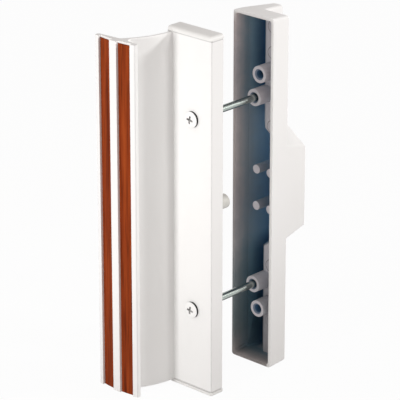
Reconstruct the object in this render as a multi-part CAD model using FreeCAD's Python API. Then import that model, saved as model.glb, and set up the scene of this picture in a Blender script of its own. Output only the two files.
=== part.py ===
import FreeCAD, Part
import math
import os
from FreeCAD import Vector

# Two halves of a sliding patio door handle, drawn together by two long screws.
# Millimetres. X runs across the handle's face, Y from the room to the outdoors, Z up.
# The origin lies on the door's inside face, midway between the two mounting screws.

# Door and screw line
door_gap = 36.5                # clear space between the halves, which the door stile fills
screw_spacing = 100.01         # between the two screws, 3-15/16 in
spare_spacing = 125.41         # between the two unused bosses, 4-15/16 in
spare_offset = 3.2             # unused bosses lie this far beside the screw line

# Inside pull: one extrusion, a channel with a curved web and a crowned grip
channel_length = 183.4
channel_width = 29.3
channel_depth = 8.0
channel_edge = 12.9            # screw line to the channel's free edge
plate_thickness = 1.8
channel_wall = 1.6
channel_corner = 0.5
web_thickness = 1.5
web_edge = -14.1               # screw line to the web's far face at the plate
web_curve = 40.0               # radius of the web's face away from the screws
web_foot_radius = 0.6
grip_width = 26.7
grip_offset = 23.2             # screw line to the grip's middle
grip_projection = 38.6         # door face to the grip's crest
grip_crown = 60.0              # radius across the grip's face
grip_root_depth = 5.1          # crest to the grip's back at the web
grip_tip_thickness = 2.4
grip_tip_radius = 0.8
grip_inner_fillet = 3.2        # web to grip on the screws' side
grip_outer_fillet = 1.2        # web to grip on the far side
screw_clearance_bore = 4.6

# Wood strips let into two grooves of the grip
groove_width = 8.2
groove_depth = 1.9
groove_rib = 4.6               # white rib between the two grooves
strip_thickness = 0.7
strip_side_clearance = 0.1
strip_top_gap = 1.0            # groove left bare above each strip

# End caps pressed into the channel
cap_height = 2.4
cap_overhang = 0.4
cap_corner = 1.9               # at the two corners away from the door
cap_edge_radius = 1.7          # round the outer face, apart from the door's side
cap_leg_length = 10.0
cap_leg_thickness = 1.8
cap_leg_taper = 0.6
cap_fit = 0.1

# Locating stud, welded by its foot inside the channel
stud_diameter = 7.4
stud_offset = -2.6             # beside the screw line
stud_reach = 18.4              # beyond the door's inside face
stud_foot_diameter = 10.0
stud_foot_height = 1.2
stud_chamfer = 0.5

# Mounting screws, No. 8-32 with a domed head
head_diameter = 8.2
head_height = 2.0
head_rim = 1.3
recess_width = 4.6
recess_slot = 1.1
recess_depth = 1.5
recess_taper = 0.75            # floor of the cross recess as a share of its mouth
shank_diameter = 3.65
thread_diameter = 4.16
thread_length = 6.0
screw_length = 50.8            # under the head, 2 in
screw_tip_chamfer = 0.6

# Outside pull: one hollow casting, open to the door
casting_length = 186.2         # at the rim
casting_width = 26.5
casting_edge = 12.5            # screw line to the near edge
casting_depth = 11.8           # rim to the base's outer face
end_draft = 3.5                # degrees
rim_wall = 1.6
core_depth = 9.1               # rim to the cavity's floor
core_side_draft = 1.5          # degrees
core_end_draft = 4.5           # degrees
core_corner = 1.0
end_edge_radius = 1.4

# Pull flange along the casting's far side
flange_depth = 25.2            # rim to the flange's end
flange_face = -3.3             # face that the fingers pull on
flange_lean = 12.5             # degrees, of the far wall
flange_lean_start = 6.0        # rim to where the far wall starts to lean
flange_lean_radius = 14.0
flange_tip_radius = 1.7
flange_root_radius = 1.5
flange_wall = 1.9
rail_edge = -0.5               # cavity floor ends here, the flange's hollow begins
outer_edge_radius = 1.3

# Lock housing between flange and near edge
housing_near_half = 24.6       # half length along the near edge, at the base's outer face
housing_flare = 35.0           # degrees, its ends spread towards the flange
housing_end_draft = 15.0       # degrees
housing_edge_radius = 0.8
housing_wall = 2.2
housing_core_corner = 2.5

# Bosses and posts inside the casting
boss_diameter = 8.7
boss_draft = 1.0               # degrees
boss_bore = 4.2
boss_bore_depth = 9.2
boss_mouth = 5.7
post_diameter = 4.6
post_draft = 0.8               # degrees
post_tip = 6.0                 # rim to the posts' tips
post_columns = (-3.5, 5.7)
post_pitch = 19.6

# Places worked out from the sizes above
channel_right = channel_edge
channel_left = channel_edge - channel_width
plate_front = -channel_depth
plate_back = plate_front + plate_thickness
half_channel = channel_length / 2
grip_middle = -grip_offset
grip_left = grip_middle - grip_width / 2
grip_right = grip_middle + grip_width / 2
crown_centre_y = grip_crown - grip_projection
rim_plane = door_gap
casting_near = casting_edge
casting_far = casting_edge - casting_width
half_casting = casting_length / 2
overlap = 1.0                  # how far a cutting tool passes its surface


def rounded_wire(corners, place):
    """Closed wire through corners (a, b, radius), each corner rounded, set in space by place(a, b)."""
    count = len(corners)
    starts = []
    middles = []
    ends = []
    for i, (a, b, radius) in enumerate(corners):
        corner = Vector(a, b, 0)
        before = Vector(*corners[i - 1][:2], 0) - corner
        after = Vector(*corners[(i + 1) % count][:2], 0) - corner
        before.normalize()
        after.normalize()
        half_angle = before.getAngle(after) / 2
        tangent = radius / math.tan(half_angle)
        bisector = before + after
        bisector.normalize()
        starts.append(corner + before * tangent)
        ends.append(corner + after * tangent)
        middles.append(corner + bisector * (radius / math.sin(half_angle) - radius))
    edges = []
    for i in range(count):
        follower = (i + 1) % count
        start, middle, end = (place(p.x, p.y) for p in (starts[i], middles[i], ends[i]))
        if corners[i][2] > 0:
            edges.append(Part.Arc(start, middle, end).toShape())
        edges.append(Part.LineSegment(end, place(starts[follower].x, starts[follower].y)).toShape())
    return Part.Wire(edges)


def in_section(x, y):
    """Point of a section across the handle."""
    return Vector(x, y, 0)


def in_plan(y):
    """Placer for outlines that lie in a plane parallel to the door."""
    return lambda x, z: Vector(x, y, z)


def extruded(wire, half_length):
    """Section wire pulled along Z, the same way up and down."""
    wire.translate(Vector(0, 0, -half_length))
    return Part.Face(wire).extrude(Vector(0, 0, 2 * half_length))


def box(x0, x1, y0, y1, z0, z1):
    return Part.makeBox(x1 - x0, y1 - y0, z1 - z0, Vector(x0, y0, z0))


def along_y(radius, start, length, x, z):
    return Part.makeCylinder(radius, length, Vector(x, start, z), Vector(0, 1, 0))


def cone_along_y(radius0, radius1, start, length, x, z):
    return Part.makeCone(radius0, radius1, length, Vector(x, start, z), Vector(0, 1, 0))


def long_edge_near(shape, x, y, length):
    """Edge parallel to Z that passes nearest to (x, y)."""
    long_edges = [e for e in shape.Edges if abs(e.BoundBox.ZLength - length) < length / 1000]
    return min(long_edges, key=lambda e: math.hypot(e.BoundBox.Center.x - x, e.BoundBox.Center.y - y))


def crown_y(x, depth=0.0):
    """Face of the grip at x, or a line below it by depth."""
    return crown_centre_y - math.sqrt((grip_crown - depth) ** 2 - (x - grip_middle) ** 2)


def crown_arc(x0, x1, depth=0.0):
    middle = (x0 + x1) / 2
    points = [Vector(x, crown_y(x, depth), 0) for x in (x0, middle, x1)]
    return Part.Arc(*points).toShape()


def closed_face(first_edge, points):
    """Face bounded by one curved edge and the straight run of points that closes it."""
    ends = [first_edge.valueAt(first_edge.LastParameter), first_edge.valueAt(first_edge.FirstParameter)]
    run = [ends[0]] + points + [ends[1]]
    lines = [Part.LineSegment(a, b).toShape() for a, b in zip(run, run[1:])]
    return Part.Face(Part.Wire([first_edge] + lines))


def pulled(face, z0, z1):
    face.translate(Vector(0, 0, z0))
    return face.extrude(Vector(0, 0, z1 - z0))


def groove_spans():
    """Left and right side of each groove, either side of the middle rib."""
    inner = groove_rib / 2
    outer = inner + groove_width
    return [(grip_middle - outer, grip_middle - inner), (grip_middle + inner, grip_middle + outer)]


def grip_blank():
    """Crowned plate, thickest over the web and thinner to both tips."""
    back_y = -grip_projection + grip_root_depth
    tips = [Vector(x, crown_y(x) + grip_tip_thickness, 0) for x in (grip_right, grip_left)]
    return pulled(closed_face(crown_arc(grip_left, grip_right), [tips[0], Vector(grip_middle, back_y, 0), tips[1]]),
                  -half_channel, half_channel)


def web_blank():
    """Curved sheet that leaves the plate square and swings away from the screws."""
    centre = Vector(web_edge - web_curve, plate_front, 0)
    reach = grip_projection - grip_root_depth / 2 - channel_depth
    swing = math.asin(reach / (web_curve + web_thickness))
    rim = []
    for radius in (web_curve, web_curve + web_thickness):
        circle = Part.Circle(centre, Vector(0, 0, 1), radius)
        rim.append(Part.ArcOfCircle(circle, -swing, 0).toShape())
    far, near = rim
    foot = Part.LineSegment(centre + Vector(web_curve, 0, 0), centre + Vector(web_curve + web_thickness, 0, 0))
    direction = Vector(math.cos(swing), -math.sin(swing), 0)
    head = Part.LineSegment(centre + direction * web_curve, centre + direction * (web_curve + web_thickness))
    wire = Part.Wire(Part.__sortEdges__([far, foot.toShape(), near, head.toShape()]))
    return pulled(Part.Face(wire), -half_channel, half_channel)


def channel_blank():
    """Channel that stands on the door, open towards it."""
    corner = channel_corner
    outline = [(channel_left, 0, 0), (channel_right, 0, 0), (channel_right, plate_front, corner),
               (channel_left, plate_front, corner)]
    shell = extruded(rounded_wire(outline, in_section), half_channel)
    hollow = box(channel_left + channel_wall, channel_right - channel_wall, plate_back, overlap,
                 -half_channel - overlap, half_channel + overlap)
    return shell.cut(hollow)


def inside_pull():
    """Channel, web and grip in one extrusion, with two grooves and two screw holes."""
    body = channel_blank().fuse([web_blank(), grip_blank()]).removeSplitter()
    web_reach = grip_projection - grip_root_depth - channel_depth
    back_y = -grip_projection + grip_root_depth
    near_x = web_edge - web_curve + math.sqrt((web_curve + web_thickness) ** 2 - web_reach ** 2)
    far_x = web_edge - web_curve + math.sqrt(web_curve ** 2 - web_reach ** 2)
    fillets = [(near_x, back_y, grip_inner_fillet), (far_x, back_y, grip_outer_fillet),
               (web_edge + web_thickness, plate_front, web_foot_radius),
               (web_edge, plate_front, web_foot_radius)]
    for x in (grip_left, grip_right):
        fillets.append((x, crown_y(x), grip_tip_radius))
        fillets.append((x, crown_y(x) + grip_tip_thickness, grip_tip_radius))
    for x, y, radius in fillets:
        body = body.makeFillet(radius, [long_edge_near(body, x, y, channel_length)])
    front = -grip_projection - overlap
    for x0, x1 in groove_spans():
        floor = crown_arc(x0, x1, groove_depth)
        groove = closed_face(floor, [Vector(x1, front, 0), Vector(x0, front, 0)])
        body = body.cut(pulled(groove, -half_channel - overlap, half_channel + overlap))
    for side in (1, -1):
        body = body.cut(along_y(screw_clearance_bore / 2, plate_front - overlap, plate_thickness + 2 * overlap,
                                0, side * screw_spacing / 2))
    return body


def wood_strip(x0, x1):
    """Thin strip of wood that follows the groove's floor."""
    x0 += strip_side_clearance
    x1 -= strip_side_clearance
    under = crown_arc(x0, x1, groove_depth)
    face_depth = groove_depth - strip_thickness
    over = crown_arc(x0, x1, face_depth)
    sides = [Part.LineSegment(Vector(x, crown_y(x, groove_depth), 0), Vector(x, crown_y(x, face_depth), 0)).toShape()
             for x in (x0, x1)]
    wire = Part.Wire(Part.__sortEdges__([under, over] + sides))
    return pulled(Part.Face(wire), -half_channel, half_channel - strip_top_gap)


def top_end_cap():
    """Moulded cap on the channel's end, with two legs that press against the channel's walls."""
    left = channel_left - cap_overhang
    right = channel_right + cap_overhang
    outline = [(left, 0, 0), (right, 0, 0), (right, plate_front - cap_overhang, cap_corner),
               (left, plate_front - cap_overhang, cap_corner)]
    wire = rounded_wire(outline, in_section)
    wire.translate(Vector(0, 0, half_channel))
    cap = Part.Face(wire).extrude(Vector(0, 0, cap_height))
    top = half_channel + cap_height
    rim = [e for e in cap.Edges if e.BoundBox.ZMin > top - cap_height / 2 and e.BoundBox.YMin < plate_back]
    cap = cap.makeFillet(cap_edge_radius, rim)
    leg_back = -cap_fit
    leg_front = plate_back + cap_fit
    for wall, inward in ((channel_left + channel_wall + cap_fit, 1), (channel_right - channel_wall - cap_fit, -1)):
        outer = wall + inward * cap_leg_taper
        inner = wall + inward * cap_leg_thickness
        points = [Vector(wall, leg_front, half_channel), Vector(inner, leg_front, half_channel),
                  Vector(inner, leg_front, half_channel - cap_leg_length),
                  Vector(outer, leg_front, half_channel - cap_leg_length),
                  Vector(wall, leg_front, half_channel - cap_leg_length + 2 * cap_leg_taper)]
        leg = Part.Face(Part.makePolygon(points + points[:1])).extrude(Vector(0, leg_back - leg_front, 0))
        cap = cap.fuse(leg)
    return cap.removeSplitter()


def locating_stud():
    """Turned stud with a broad foot against the back of the plate."""
    foot = along_y(stud_foot_diameter / 2, plate_back, stud_foot_height, stud_offset, 0)
    length = stud_reach - plate_back
    pin = along_y(stud_diameter / 2, plate_back, length - stud_chamfer, stud_offset, 0)
    nose = cone_along_y(stud_diameter / 2, stud_diameter / 2 - stud_chamfer, stud_reach - stud_chamfer,
                        stud_chamfer, stud_offset, 0)
    return foot.fuse([pin, nose]).removeSplitter()


def cross_recess(y):
    """Tapered cross slot for the screwdriver, sunk from y."""
    slots = []
    for length, width in ((recess_width, recess_slot), (recess_slot, recess_width)):
        rings = []
        for scale, depth in ((1.0, 0.0), (recess_taper, recess_depth)):
            half_x = length * scale / 2
            half_z = width * scale / 2
            outline = [(-half_x, -half_z, 0), (half_x, -half_z, 0), (half_x, half_z, 0), (-half_x, half_z, 0)]
            rings.append(rounded_wire(outline, in_plan(y + depth)))
        slots.append(Part.makeLoft(rings, True, True))
    return slots[0].fuse(slots[1])


def mounting_screw(z):
    """Long screw: domed head with a cross recess, plain shank, thread inside the boss only."""
    radius = head_diameter / 2
    dome_rise = head_height - head_rim
    dome_radius = (radius ** 2 + dome_rise ** 2) / (2 * dome_rise)
    crest = plate_front - head_height
    ball = Part.makeSphere(dome_radius, Vector(0, crest + dome_radius, 0))
    head = along_y(radius, crest, head_height, 0, 0).common(ball)
    head = head.cut(cross_recess(crest))
    tip = plate_front + screw_length
    thread_start = tip - thread_length
    shank = along_y(shank_diameter / 2, plate_front, thread_start - plate_front, 0, 0)
    thread = along_y(thread_diameter / 2, thread_start, thread_length - screw_tip_chamfer, 0, 0)
    point = cone_along_y(thread_diameter / 2, thread_diameter / 2 - screw_tip_chamfer, tip - screw_tip_chamfer,
                         screw_tip_chamfer, 0, 0)
    screw = head.fuse([shank, thread, point]).removeSplitter()
    screw.translate(Vector(0, 0, z))
    return screw


def drafted_slab(half_length, draft, depth):
    """Everything between the casting's two end planes, which lean together away from the door."""
    lost = depth * math.tan(math.radians(draft))
    ahead = overlap * math.tan(math.radians(draft))
    y0 = rim_plane - overlap
    y1 = rim_plane + depth
    side = casting_far - overlap
    points = [Vector(side, y0, -half_length - ahead), Vector(side, y1, -half_length + lost),
              Vector(side, y1, half_length - lost), Vector(side, y0, half_length + ahead)]
    face = Part.Face(Part.makePolygon(points + points[:1]))
    return face.extrude(Vector(casting_width + 2 * overlap, 0, 0))


def casting_section():
    """Outer section of the casting: shallow base with the pull flange rising from its far side."""
    lean = math.tan(math.radians(flange_lean))
    tip_x = casting_far + (flange_depth - flange_lean_start) * lean
    base_y = rim_plane + casting_depth
    tip_y = rim_plane + flange_depth
    return [(casting_near, rim_plane, 0), (casting_far, rim_plane, 0),
            (casting_far, rim_plane + flange_lean_start, flange_lean_radius),
            (tip_x, tip_y, flange_tip_radius), (flange_face, tip_y, flange_tip_radius),
            (flange_face, base_y, flange_root_radius), (casting_near, base_y, outer_edge_radius)]


def housing_outline(near_x, far_x, near_half, corner):
    """Plan of the lock housing: short along the near edge and longer towards the flange."""
    spread = (near_x - far_x) * math.tan(math.radians(housing_flare))
    return [(near_x, -near_half, corner), (near_x, near_half, corner),
            (far_x, near_half + spread, 0), (far_x, -near_half - spread, 0)]


def lock_housing():
    """Raised box with flared and drafted ends, its side flush with the casting's near edge."""
    middle_of_flange = (casting_far + flange_face) / 2
    rise = flange_depth - casting_depth
    lost = rise * math.tan(math.radians(housing_end_draft))
    rooted = core_depth - casting_depth
    rings = []
    for up in (rooted, rise):
        half = housing_near_half - lost * up / rise
        outline = housing_outline(casting_near, middle_of_flange, half, 0)
        rings.append(rounded_wire(outline, in_plan(rim_plane + casting_depth + up)))
    block = Part.makeLoft(rings, True, True)
    top = rim_plane + flange_depth
    edges = []
    for edge in block.Edges:
        centre = edge.BoundBox.Center
        on_top = edge.BoundBox.YMin > top - overlap
        at_far_side = edge.BoundBox.XMax < middle_of_flange + overlap
        rising = edge.BoundBox.YLength > rise / 2
        if not at_far_side and (on_top or rising) and centre.y > rim_plane:
            edges.append(edge)
    return block.makeFillet(housing_edge_radius, edges)


def shallow_core():
    """Cavity under the whole base, down to the floor that carries the bosses."""
    rings = []
    for depth in (-overlap, core_depth):
        side = rim_wall + depth * math.tan(math.radians(core_side_draft))
        end = half_casting - rim_wall - depth * math.tan(math.radians(core_end_draft))
        outline = [(casting_far + side, -end, core_corner), (casting_near - side, -end, core_corner),
                   (casting_near - side, end, core_corner), (casting_far + side, end, core_corner)]
        rings.append(rounded_wire(outline, in_plan(rim_plane + depth)))
    return Part.makeLoft(rings, True, True)


def flange_core():
    """Deep hollow inside the pull flange, open to the cavity above it."""
    lean = math.tan(math.radians(flange_lean))
    floor_y = rim_plane + core_depth
    deep_y = rim_plane + flange_depth - flange_wall
    skin = flange_wall / math.cos(math.radians(flange_lean))
    side = rim_wall + core_depth * math.tan(math.radians(core_side_draft))
    far_x = casting_far + max(side, (core_depth - flange_lean_start) * lean + skin)
    deep_far = casting_far + (flange_depth - flange_wall - flange_lean_start) * lean + skin
    deep_near = flange_face - flange_wall
    shoulder_y = rim_plane + casting_depth + flange_wall
    outline = [(far_x, floor_y - overlap, 0), (rail_edge, floor_y - overlap, 0), (rail_edge, floor_y, 0),
               (deep_near, shoulder_y, 0), (deep_near, deep_y, core_corner), (deep_far, deep_y, core_corner),
               (far_x, floor_y, 0)]
    core = extruded(rounded_wire(outline, in_section), half_casting)
    return core.common(drafted_slab(half_casting - rim_wall, core_end_draft, flange_depth))


def housing_core():
    """Hollow of the lock housing, joined to the flange's hollow."""
    far_x = (casting_far + flange_face) / 2
    near_x = casting_near - housing_wall
    end_wall = housing_wall / math.cos(math.radians(housing_flare))
    inset = end_wall - housing_wall * math.tan(math.radians(housing_flare))
    draft = math.tan(math.radians(housing_end_draft))
    rings = []
    for depth in (core_depth - overlap, flange_depth - housing_wall):
        half = housing_near_half - inset - (depth - casting_depth) * draft
        outline = housing_outline(near_x, far_x, half, housing_core_corner)
        rings.append(rounded_wire(outline, in_plan(rim_plane + depth)))
    return Part.makeLoft(rings, True, True)


def boss_places():
    places = []
    for x, spacing in ((0.0, screw_spacing), (spare_offset, spare_spacing)):
        places += [(x, spacing / 2), (x, -spacing / 2)]
    return places


def boss(x, z):
    """Drafted round boss, from the rim plane down into the casting's wall."""
    length = casting_depth + flange_wall
    root = boss_diameter / 2 + length * math.tan(math.radians(boss_draft))
    return cone_along_y(boss_diameter / 2, root, rim_plane, length, x, z)


def boss_hole(x, z):
    """Tapped hole with a small countersink at its mouth."""
    bore = along_y(boss_bore / 2, rim_plane - overlap, boss_bore_depth + overlap, x, z)
    sink = (boss_mouth - boss_bore) / 2
    mouth = cone_along_y(boss_mouth / 2 + overlap, boss_bore / 2, rim_plane - overlap, sink + overlap, x, z)
    return bore.fuse(mouth)


def post(x, z):
    """Plain post that stands on the lock housing's floor."""
    length = flange_depth - housing_wall / 2 - post_tip
    root = post_diameter / 2 + length * math.tan(math.radians(post_draft))
    return cone_along_y(post_diameter / 2, root, rim_plane + post_tip, length, x, z)


def end_edges(shape):
    """Edges round the casting's two ends, apart from those on the rim."""
    slope = math.tan(math.radians(end_draft))
    found = []
    for edge in shape.Edges:
        points = [v.Point for v in edge.Vertexes]
        on_end = all(abs(abs(p.z) - half_casting + (p.y - rim_plane) * slope) < overlap / 100 for p in points)
        on_rim = all(p.y < rim_plane + overlap / 100 for p in points)
        if on_end and not on_rim:
            found.append(edge)
    return found


def outside_pull():
    """Hollow casting with its flange, lock housing, bosses and posts."""
    blank = extruded(rounded_wire(casting_section(), in_section), half_casting + overlap)
    blank = blank.common(drafted_slab(half_casting, end_draft, flange_depth + overlap))
    blank = blank.makeFillet(end_edge_radius, end_edges(blank))
    blank = blank.fuse(lock_housing()).removeSplitter()
    hollow = blank.cut(shallow_core().fuse([flange_core(), housing_core()]))
    towers = [boss(x, z) for x, z in boss_places()]
    towers += [post(x, side * post_pitch / 2) for x in post_columns for side in (1, -1)]
    standing = towers[0].fuse(towers[1:]).common(blank)
    body = hollow.fuse(standing).removeSplitter()
    for x, z in boss_places():
        body = body.cut(boss_hole(x, z))
    return body


def mirrored(shape):
    """The same piece for the lower end."""
    return shape.mirror(Vector(0, 0, 0), Vector(0, 0, 1))


def build():
    strips = [wood_strip(x0, x1) for x0, x1 in groove_spans()]
    cap = top_end_cap()
    return {
        "inside_pull": inside_pull(),
        "wood_strip_left": strips[0],
        "wood_strip_right": strips[1],
        "top_end_cap": cap,
        "bottom_end_cap": mirrored(cap),
        "locating_stud": locating_stud(),
        "upper_mounting_screw": mounting_screw(screw_spacing / 2),
        "lower_mounting_screw": mounting_screw(-screw_spacing / 2),
        "outside_pull": outside_pull(),
    }


os.makedirs("parts", exist_ok=True)
for name, shape in build().items():
    print(name, "solids", len(shape.Solids), "valid", shape.isValid(), "volume", round(shape.Volume, 1))
    shape.exportStep("parts/" + name + ".step")
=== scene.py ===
import math

import bmesh
import bpy
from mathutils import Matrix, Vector


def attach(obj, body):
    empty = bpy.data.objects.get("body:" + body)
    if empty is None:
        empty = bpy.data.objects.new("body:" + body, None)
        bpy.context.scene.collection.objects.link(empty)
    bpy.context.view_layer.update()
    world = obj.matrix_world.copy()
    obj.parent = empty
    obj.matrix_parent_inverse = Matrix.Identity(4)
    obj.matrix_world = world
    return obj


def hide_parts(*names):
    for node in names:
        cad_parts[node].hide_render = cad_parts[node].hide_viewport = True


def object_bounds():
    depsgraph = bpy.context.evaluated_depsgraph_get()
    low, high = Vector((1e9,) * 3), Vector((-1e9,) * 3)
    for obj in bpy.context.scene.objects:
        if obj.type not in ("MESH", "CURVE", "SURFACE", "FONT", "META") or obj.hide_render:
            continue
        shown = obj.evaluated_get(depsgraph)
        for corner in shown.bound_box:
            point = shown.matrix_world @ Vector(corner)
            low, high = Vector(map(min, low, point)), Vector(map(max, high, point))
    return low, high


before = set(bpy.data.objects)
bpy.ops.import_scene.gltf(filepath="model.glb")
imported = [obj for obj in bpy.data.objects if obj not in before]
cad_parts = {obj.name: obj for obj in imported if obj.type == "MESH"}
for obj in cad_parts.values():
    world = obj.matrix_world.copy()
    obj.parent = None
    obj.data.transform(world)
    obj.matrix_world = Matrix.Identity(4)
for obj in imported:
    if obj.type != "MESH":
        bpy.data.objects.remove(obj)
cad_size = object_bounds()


# Camera. It looks at the handle from the right and a little above, from 1.25 m away with a long lens,
# so that the two halves and the door's gap between them show at the photograph's angle.
CAMERA_PLACE = Vector((0.8018, -0.8516, 0.45588))
CAMERA_DIRECTION = Vector((-0.6408, 0.6786, -0.3590))
LENS = 229.68

camera_data = bpy.data.cameras.new("handle_camera")
camera_data.lens = LENS
camera_data.sensor_width = 36.0
camera_data.clip_start = 0.05
camera_data.clip_end = 20.0
camera = bpy.data.objects.new("handle_camera", camera_data)
bpy.context.scene.collection.objects.link(camera)
camera.location = CAMERA_PLACE
camera.rotation_euler = CAMERA_DIRECTION.to_track_quat("-Z", "Y").to_euler()
bpy.context.scene.camera = camera
bpy.context.scene.view_settings.view_transform = "Standard"


# Studio. A plain white table that curves up behind the handle, in a bright room. One soft lamp stands in
# front and two weaker ones at the right side and behind it, all aimed high, so that its foot is dimmer.
TABLE_HALF = 1.6
TABLE_BACK = 1.0
TABLE_RISE = 1.6
TABLE_BEND = 0.5
TABLE_COLOUR = (0.94, 0.94, 0.94, 1.0)
TABLE_GLOW = (0.997, 0.997, 0.997, 1.0)
SHADOW_SHARE = 0.04
ROOM_LIGHT = 0.525
ROOM_COLOUR = (1.0, 0.94, 0.915, 1.0)
ROOM_SEEN = (0.982, 0.982, 0.982, 1.0)


def adder(tree):
    """Function that adds a node to the tree and sets or links its inputs, by name or by number.

    A node that is given as a value stands for its first output.
    """
    def add(kind, settings=None, numbered=None, **named):
        node = tree.nodes.new(kind)
        for name, value in (settings or {}).items():
            setattr(node, name, value)
        pairs = [(node.inputs[name.replace("_", " ")], value) for name, value in named.items()]
        pairs += [(node.inputs[number], value) for number, value in (numbered or {}).items()]
        for socket, value in pairs:
            if isinstance(value, bpy.types.Node):
                value = value.outputs[0]
            if isinstance(value, bpy.types.NodeSocket):
                tree.links.new(value, socket)
            else:
                socket.default_value = value
        return node
    return add


def new_material(name):
    """Material with an emptied tree, and the function that adds nodes to it."""
    material = bpy.data.materials.new(name)
    material.use_nodes = True
    material.node_tree.nodes.clear()
    return material, adder(material.node_tree)


def calc(add, operation, *values, clamp=False):
    """What a maths node makes of the values."""
    return add("ShaderNodeMath", {"operation": operation, "use_clamp": clamp}, dict(enumerate(values)))


def blend(add, share, first, second, kind="MIX"):
    """The first colour where share is 0 and the second where it is 1."""
    mixed = add("ShaderNodeMix", {"data_type": "RGBA", "blend_type": kind}, {0: share, 6: first, 7: second})
    return mixed.outputs[2]


def spread(add, value, start, end, low=0.0, high=1.0, kind="LINEAR"):
    """Low where value is start, high where it is end, and in between what lies between them."""
    return add("ShaderNodeMapRange", {"interpolation_type": kind}, Value=value, From_Min=start, From_Max=end,
               To_Min=low, To_Max=high)


def scaled(add, vector, factor):
    """The vector or colour times the factor."""
    return add("ShaderNodeVectorMath", {"operation": "SCALE"}, {0: vector}, Scale=factor)


def table_mesh(floor_z):
    """Flat table that bends up into a wall behind the handle."""
    profile = [(-TABLE_HALF, floor_z)]
    steps = 24
    for i in range(steps + 1):
        angle = math.pi / 2 * i / steps
        y = TABLE_BACK + TABLE_BEND * math.sin(angle)
        profile.append((y, floor_z + TABLE_BEND * (1 - math.cos(angle))))
    profile.append((TABLE_BACK + TABLE_BEND, floor_z + TABLE_RISE))
    verts = [(side * TABLE_HALF, y, z) for y, z in profile for side in (-1, 1)]
    faces = [(2 * i, 2 * i + 1, 2 * i + 3, 2 * i + 2) for i in range(len(profile) - 1)]
    mesh = bpy.data.meshes.new("table")
    mesh.from_pydata(verts, [], faces)
    mesh.shade_smooth()
    return mesh


white_table, add = new_material("white_table")
path = add("ShaderNodeLightPath").outputs
seen = calc(add, "MAXIMUM", path["Is Camera Ray"], path["Is Glossy Ray"])
seen = calc(add, "MAXIMUM", seen, path["Is Transmission Ray"])
plain = add("ShaderNodeBsdfDiffuse", Color=TABLE_COLOUR)
glow = add("ShaderNodeEmission", Color=TABLE_GLOW, Strength=1.0)
shown = add("ShaderNodeMixShader", numbered={0: SHADOW_SHARE, 1: glow, 2: plain})
mixed = add("ShaderNodeMixShader", numbered={0: seen, 1: plain, 2: shown})
add("ShaderNodeOutputMaterial", Surface=mixed)
table = bpy.data.objects.new("table", table_mesh(cad_size[0][2]))
bpy.context.scene.collection.objects.link(table)
table.data.materials.append(white_table)

world = bpy.data.worlds.new("room")
bpy.context.scene.world = world
world.use_nodes = True
world.node_tree.nodes.clear()
add = adder(world.node_tree)
by_camera = add("ShaderNodeLightPath").outputs["Is Camera Ray"]
room = add("ShaderNodeBackground", Color=blend(add, by_camera, ROOM_COLOUR, ROOM_SEEN),
           Strength=spread(add, by_camera, 0.0, 1.0, ROOM_LIGHT, 1.0))
add("ShaderNodeOutputWorld", Surface=room)


def soft_spot(name, place, aim, cone, fade, radius, power):
    """Round soft lamp, aimed at a point, whose light fades towards the rim of its cone (in degrees)."""
    lamp = bpy.data.lights.new(name, "SPOT")
    lamp.spot_size = math.radians(cone)
    lamp.spot_blend = fade
    lamp.shadow_soft_size = radius
    lamp.energy = power
    holder = bpy.data.objects.new(name, lamp)
    bpy.context.scene.collection.objects.link(holder)
    holder.location = place
    holder.rotation_euler = (Vector(aim) - Vector(place)).to_track_quat("-Z", "Y").to_euler()


soft_spot("front_lamp", place=(0.03, -0.85, 0.12), aim=(-0.11, 0.0, 0.182), cone=51.0, fade=0.66, radius=0.08,
          power=18.2)
soft_spot("right_lamp", place=(0.95, 0.15, 0.46), aim=(0.0, 0.0, 0.122), cone=28.5, fade=0.88, radius=0.06,
          power=8.2)
soft_spot("rear_lamp", place=(0.80, 0.50, 0.44), aim=(0.0, 0.0, 0.122), cone=29.5, fade=0.88, radius=0.06,
          power=17.6)


# Inside pull. One aluminium extrusion painted gloss white: the channel that stands on the door, the
# curved web and the crowned grip with its two grooves. It is cut to length, bored for the screws and painted;
# its paint carries painted shade in a fine band at the channel's cut ends and along its two sharp front
# corners.
MM = 0.001
CHANNEL_LENGTH = 183.4
CHANNEL_RIGHT = 12.9
CHANNEL_LEFT = -16.4
CHANNEL_DEPTH = 8.0
CHANNEL_WALL = 1.6
CHANNEL_CORNER = 0.5
PLATE_THICKNESS = 1.8
WEB_EDGE = -14.1
WEB_THICKNESS = 1.5
WEB_CURVE = 40.0
WEB_FOOT_RADIUS = 0.6
GRIP_MIDDLE = -23.2
GRIP_WIDTH = 26.7
GRIP_PROJECTION = 38.6
GRIP_CROWN = 60.0
GRIP_ROOT_DEPTH = 5.1
GRIP_TIP_THICKNESS = 2.4
GRIP_TIP_RADIUS = 0.8
TIP_CHORD = 1.3
TIP_SPAN = 1.1
GRIP_INNER_FILLET = 3.2
GRIP_OUTER_FILLET = 1.2
GROOVE_WIDTH = 8.2
GROOVE_DEPTH = 1.9
GROOVE_RIB = 4.6
SCREW_SPACING = 100.01
SCREW_CLEARANCE_BORE = 4.6
CUT_EDGE = 0.09
EXTRUSION_WHITE = (0.86, 0.86, 0.852, 1.0)
EXTRUSION_WARM = (0.83, 0.825, 0.812, 1.0)
PAINT_ROUGHNESS = 0.36
DRIFT_SCALE = 24.0
GLOSS_SPREAD = (0.88, 1.15)
LACQUER = 0.15
LACQUER_ROUGHNESS = 0.12
# Painted shade: SEAM_SHADE greys a band at the channel's ends under the caps, CORNER_SHADE a line along each
# front corner.
SEAM_BAND = 0.45
SEAM_FADE = 0.1
SEAM_SHADE = 0.74
CORNER_LINE = 0.42
CORNER_CORE = 0.6
CORNER_SHADE = 0.80
FRONT_CORNERS = ((12.75, -7.85), (-10.1, -36.85))


def arc(centre, radius, start, end, steps):
    """Points along an arc from start to end, in degrees, both ends included."""
    angles = [math.radians(start + (end - start) * i / steps) for i in range(steps + 1)]
    return [(centre[0] + radius * math.cos(a), centre[1] + radius * math.sin(a)) for a in angles]


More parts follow.
